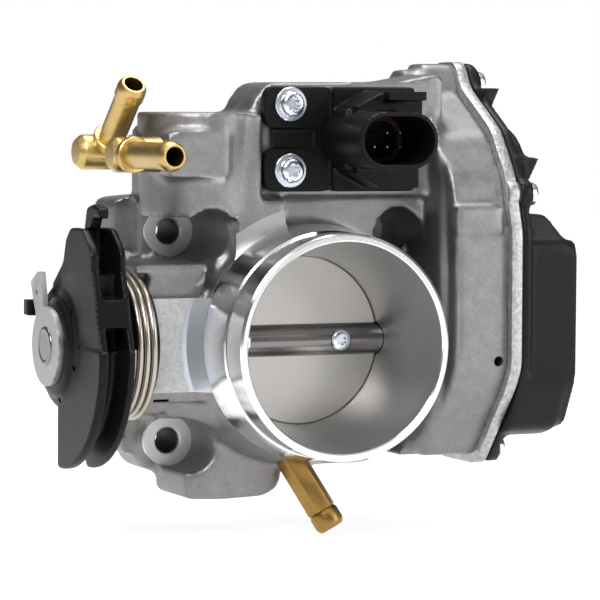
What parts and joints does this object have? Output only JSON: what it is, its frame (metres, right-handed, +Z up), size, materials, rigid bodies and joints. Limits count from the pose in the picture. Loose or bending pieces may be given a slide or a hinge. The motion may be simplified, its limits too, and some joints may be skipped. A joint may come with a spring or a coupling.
{
  "type": "throttle body",
  "caption": "Cable-operated throttle body: round bore with a butterfly plate on a sprung pulley shaft, an idle actuator housing, a plug socket and hose nipples.",
  "frame": {"origin": "centre of the four-bolt pattern, on the bore axis, in the manifold flange face", "axes": "+Y along the bore axis from the air inlet towards the intake manifold, +X along the throttle shaft from the cable pulley to the actuator cover, +Z up, across the throttle shaft towards the connector"},
  "size_m": [0.168, 0.085, 0.1457],
  "materials": {
    "cast_aluminium": "satin",
    "plate_metal": "satin",
    "shaft_steel": "polished",
    "zinc_steel": "satin",
    "washer_steel": "satin",
    "spring_steel": "satin",
    "brass": "satin",
    "bronze": "satin",
    "black_plastic": "satin",
    "cover_plastic": "satin",
    "gear_plastic": "satin",
    "board_green": "satin",
    "black_rubber": "matte",
    "silicone": "matte"
  },
  "bodies": {
    "body": {"main_body": "cast_aluminium", "shaft_bush": "bronze", "shaft_bearing": "zinc_steel", "pulley_seal": "black_rubber", "bearing_seal": "black_rubber", "return_spring": "spring_steel", "spring_spool": "black_plastic", "rear_elbow": "brass", "rear_nipple": "brass", "front_elbow": "brass", "front_nipple": "brass", "lower_nipple": "bronze", "connector_housing": "black_plastic", "connector_pins": "zinc_steel", "connector_seal": "silicone", "connector_screws": "zinc_steel", "gear_cover": "cover_plastic", "cover_gasket": "black_rubber", "cover_screws": "zinc_steel", "idle_motor": "zinc_steel", "gear_pin": "shaft_steel", "sensor_board": "board_green"},
    "throttle": {"throttle_shaft": "shaft_steel", "throttle_plate": "plate_metal", "plate_screws": "zinc_steel", "cable_pulley": "black_plastic", "retaining_washer": "washer_steel", "wiper_rotor": "black_plastic"},
    "idle_lever": {"idle_segment": "gear_plastic"},
    "intermediate": {"intermediate_gear": "gear_plastic"},
    "motor_rotor": {"motor_pinion": "brass"}
  },
  "joints": [
    {"name": "throttle_turn", "type": "hinge", "parent": "body", "child": "throttle", "pos_m": [0, -0.0385, 0], "axis": [1, 0, 0], "range_deg": [0, 83], "stiffness_Nm_per_rad": 0.3, "springref_deg": -85.94},
    {"name": "idle_lever_turn", "type": "hinge", "parent": "body", "child": "idle_lever", "pos_m": [0.0495, -0.0385, 0], "axis": [1, 0, 0], "range_deg": [0, 12]},
    {"name": "intermediate_turn", "type": "hinge", "parent": "body", "child": "intermediate", "pos_m": [0.0533, -0.0315, 0.04344], "axis": [1, 0, 0], "range_deg": [-121, 1]},
    {"name": "motor_turn", "type": "hinge", "parent": "body", "child": "motor_rotor", "pos_m": [0.0533, -0.03974, 0.02304], "axis": [1, 0, 0], "range_deg": [-1, 541]}
  ],
  "couplings": [
    {"joint": "intermediate_turn", "follows": "idle_lever_turn", "ratio": -10},
    {"joint": "motor_turn", "follows": "idle_lever_turn", "ratio": 45}
  ]
}
